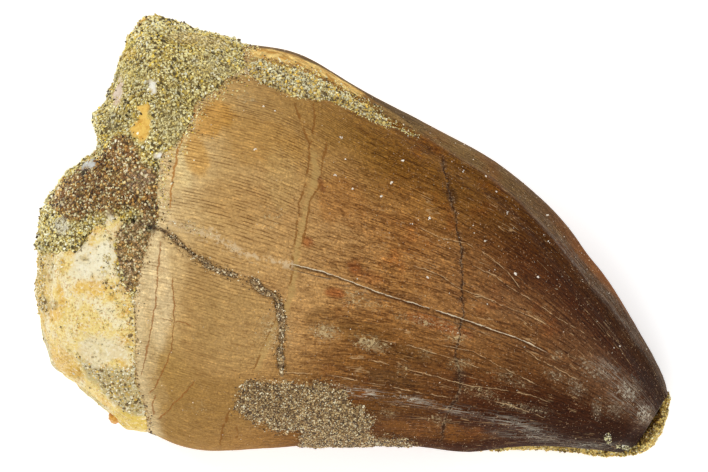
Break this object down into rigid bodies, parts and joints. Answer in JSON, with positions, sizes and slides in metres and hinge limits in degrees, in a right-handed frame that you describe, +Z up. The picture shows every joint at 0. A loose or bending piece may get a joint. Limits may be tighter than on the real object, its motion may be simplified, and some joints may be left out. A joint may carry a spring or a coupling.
{
  "type": "fossil mosasaur tooth",
  "caption": "Curved conical fossil tooth crown with root bone and sand matrix at its base, edge, face and tip, lying on its back as a display specimen.",
  "frame": {"origin": "centre of the specimen's plan box, on the surface it rests on", "axes": "+X along the tooth towards its tip, +Y towards the convex upper edge, +Z up out of the front face"},
  "size_m": [0.0634, 0.0442, 0.0264],
  "materials": {
    "enamel": "glossy striated brown enamel",
    "bone": "matte cream and yellow fossil bone",
    "olive_sandstone": "rough olive sandstone",
    "pale_sand": "rough pale grey and golden sand",
    "brown_sand": "rough grey-brown sand",
    "golden_sand": "rough golden sand"
  },
  "bodies": {
    "root": {"tooth_crown": "enamel", "root_bone": "bone", "base_matrix": "olive_sandstone", "ridge_matrix": "pale_sand", "face_crust": "brown_sand", "crack_sand": "brown_sand", "tip_matrix": "golden_sand"}
  },
  "joints": []
}
